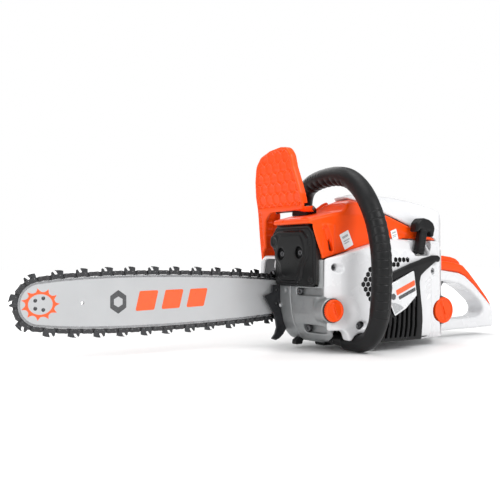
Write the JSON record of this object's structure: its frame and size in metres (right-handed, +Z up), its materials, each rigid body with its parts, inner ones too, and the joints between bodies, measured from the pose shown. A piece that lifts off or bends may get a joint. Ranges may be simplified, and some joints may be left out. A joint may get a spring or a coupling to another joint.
{
  "type": "chainsaw",
  "caption": "Petrol chainsaw with a starter grip, chain brake guard, rear throttle handle, wrap-round front handle, guide bar and chain.",
  "frame": {"origin": "centre of the bounding box's foot: the ground below the middle of the saw", "axes": "+X from the bar's nose to the rear handle, +Y from the starter side to the bar side, +Z up"},
  "size_m": [0.8162, 0.2252, 0.2913],
  "materials": {
    "casting": "die cast, fine sand texture",
    "aluminium": "as cast and machined",
    "steel": "zinc plated",
    "dark_steel": "blackened",
    "sheet_steel": "matt heat-proof coating",
    "black_paint": "satin black",
    "chain_steel": "oiled dark steel",
    "bar_steel": "pale satin lacquer over ground steel",
    "white_plastic": "glossy moulded nylon",
    "orange_plastic": "glossy moulded nylon",
    "black_plastic": "satin moulded nylon",
    "rubber": "matt",
    "filter_felt": "flocked mesh",
    "badge": "printed aluminium film, plain",
    "rope": "braided nylon"
  },
  "bodies": {
    "root": {"crankcase_starter_half": "casting", "crankcase_clutch_half": "casting", "oil_pump": "aluminium", "cylinder": "aluminium", "piston": "aluminium", "connecting_rod": "steel", "ignition_coil": "black_plastic", "spark_plug": "steel", "spark_plug_boot": "rubber", "silencer": "sheet_steel", "silencer_cover": "black_paint", "silencer_screw_right": "steel", "silencer_screw_left": "steel", "crankcase_screw_upper": "dark_steel", "crankcase_screw_lower": "dark_steel", "starter_housing": "white_plastic", "starter_grille": "black_plastic", "badge_plate": "badge", "starter_screw_front": "dark_steel", "starter_screw_lower": "dark_steel", "starter_pulley_pin": "steel", "starter_rope": "rope", "top_cover": "orange_plastic", "filter_cover": "white_plastic", "intake_boot": "rubber", "carburettor": "aluminium", "air_filter": "filter_felt", "tank_handle": "white_plastic", "rear_handle_strip": "orange_plastic", "front_handle_grip": "rubber", "front_handle_tube": "black_paint", "handle_bracket": "black_plastic", "handle_foot": "rubber", "guide_bar": "bar_steel", "saw_chain": "chain_steel", "bumper_spike": "dark_steel", "clutch_cover": "white_plastic", "bar_nut_front": "steel", "bar_nut_rear": "steel", "tension_screw": "steel", "chain_catcher": "aluminium", "guard_bracket": "black_plastic", "guard_pin": "steel"},
    "crankshaft": {"crankshaft_flywheel_side": "steel", "crankshaft_clutch_side": "steel", "flywheel": "aluminium", "clutch_shoes": "dark_steel"},
    "clutch_drum": {"clutch_drum": "dark_steel"},
    "nose_sprocket": {"nose_sprocket": "dark_steel"},
    "starter_pulley": {"starter_pulley": "black_plastic"},
    "starter_handle": {"starter_handle": "black_plastic"},
    "hand_guard": {"hand_guard": "orange_plastic"},
    "throttle_trigger": {"throttle_trigger": "black_plastic"},
    "throttle_lock": {"throttle_lock": "orange_plastic"},
    "stop_switch": {"stop_switch": "orange_plastic"},
    "choke_knob": {"choke_knob": "black_plastic"},
    "oil_cap": {"oil_cap": "orange_plastic", "oil_cap_seal": "rubber"},
    "fuel_cap": {"fuel_cap": "orange_plastic", "fuel_cap_seal": "rubber"}
  },
  "joints": [
    {"name": "crankshaft_spin", "type": "hinge", "parent": "root", "child": "crankshaft", "pos_m": [0.07354, 0.03261, 0.07839], "axis": [0, 1, 0], "continuous": true},
    {"name": "clutch_drum_spin", "type": "hinge", "parent": "root", "child": "clutch_drum", "pos_m": [0.07354, 0.03261, 0.07839], "axis": [0, 1, 0], "continuous": true},
    {"name": "nose_sprocket_spin", "type": "hinge", "parent": "root", "child": "nose_sprocket", "pos_m": [-0.37146, 0.06761, 0.07439], "axis": [0, 1, 0], "continuous": true},
    {"name": "starter_pull", "type": "slide", "parent": "root", "child": "starter_handle", "axis": [0.218, 0, 0.976], "range_m": [0, 0.45], "stiffness_N_per_m": 12},
    {"name": "starter_pulley_turn", "type": "hinge", "parent": "root", "child": "starter_pulley", "pos_m": [0.07354, 0.03261, 0.07839], "axis": [0, 1, 0], "range_deg": [-1110, 0]},
    {"name": "hand_guard_tilt", "type": "hinge", "parent": "root", "child": "hand_guard", "pos_m": [0.01354, 0.03261, 0.20289], "axis": [0, -1, 0], "range_deg": [0, 15]},
    {"name": "throttle_pull", "type": "hinge", "parent": "root", "child": "throttle_trigger", "pos_m": [0.27553, 0.03261, 0.10439], "axis": [0, -1, 0], "range_deg": [0, 18], "stiffness_Nm_per_rad": 0.4, "springref_deg": -17.19},
    {"name": "throttle_lock_press", "type": "hinge", "parent": "root", "child": "throttle_lock", "pos_m": [0.28753, 0.03261, 0.11839], "axis": [0, 1, 0], "range_deg": [0, 5], "stiffness_Nm_per_rad": 0.8, "springref_deg": -17.19},
    {"name": "stop_switch_rock", "type": "hinge", "parent": "root", "child": "stop_switch", "pos_m": [0.19753, 0.09011, 0.12839], "axis": [1, 0, 0], "range_deg": [-6, 6]},
    {"name": "choke_pull", "type": "slide", "parent": "root", "child": "choke_knob", "axis": [0, 1, 0], "range_m": [0, 0.012]},
    {"name": "oil_cap_turn", "type": "hinge", "parent": "root", "child": "oil_cap", "pos_m": [-0.00347, -0.04689, 0.05939], "axis": [0, -1, 0], "continuous": true},
    {"name": "fuel_cap_turn", "type": "hinge", "parent": "root", "child": "fuel_cap", "pos_m": [0.21604, -0.03939, 0.05189], "axis": [0, -1, 0], "continuous": true}
  ],
  "couplings": [
    {"joint": "nose_sprocket_spin", "follows": "clutch_drum_spin", "ratio": 0.7},
    {"joint": "starter_pulley_turn", "follows": "starter_pull", "rad_per_m": -41.667}
  ]
}
